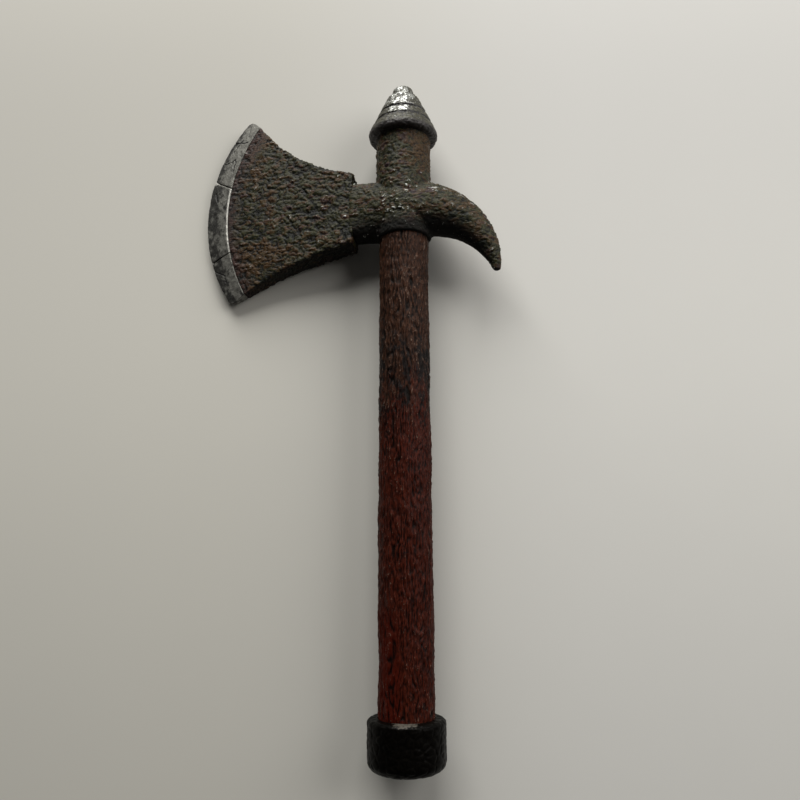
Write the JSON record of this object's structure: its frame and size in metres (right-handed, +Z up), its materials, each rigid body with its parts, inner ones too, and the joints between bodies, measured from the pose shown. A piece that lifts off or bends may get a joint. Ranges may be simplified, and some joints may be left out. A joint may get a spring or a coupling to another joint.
{
  "type": "hatchet",
  "caption": "Beaked hatchet with a fan-shaped blade, a separate steel edge, a pointed finial, a round carved wooden haft and an iron pommel cap.",
  "frame": {"origin": "centre of the pommel cap's flat butt face, on the haft's axis", "axes": "+Y along the haft towards the finial, blade towards -X, beak towards +X, +Z up from the table that the hatchet lies on"},
  "size_m": [0.1994, 0.4401, 0.047],
  "materials": {
    "haft_wood": "carved grain, dark red-brown stain, satin",
    "wedge_wood": "raw sawn hardwood",
    "wedge_steel": "mill scale",
    "head_iron": "hammered, dark, worn bright on the high spots",
    "blade_iron": "pitted, rust and olive patina, worn bright on the high spots",
    "bit_steel": "worn grey steel with dark stains and cracks",
    "finial_iron": "dark gunmetal, worn bright on the tiers",
    "rivet_steel": "peened, dark",
    "pommel_iron": "blackened, hammered, satin"
  },
  "bodies": {
    "root": {"haft": "haft_wood", "wood_wedge": "wedge_wood", "steel_wedges": "wedge_steel", "head_forging": "head_iron", "blade_body": "blade_iron", "blade_rivets": "rivet_steel", "bit_rivets": "rivet_steel", "edge_bit_upper": "bit_steel", "edge_bit_middle": "bit_steel", "edge_bit_lower": "bit_steel", "finial_cap": "finial_iron", "finial_knob": "finial_iron", "pommel_cap": "pommel_iron", "pommel_pin": "rivet_steel"}
  },
  "joints": []
}
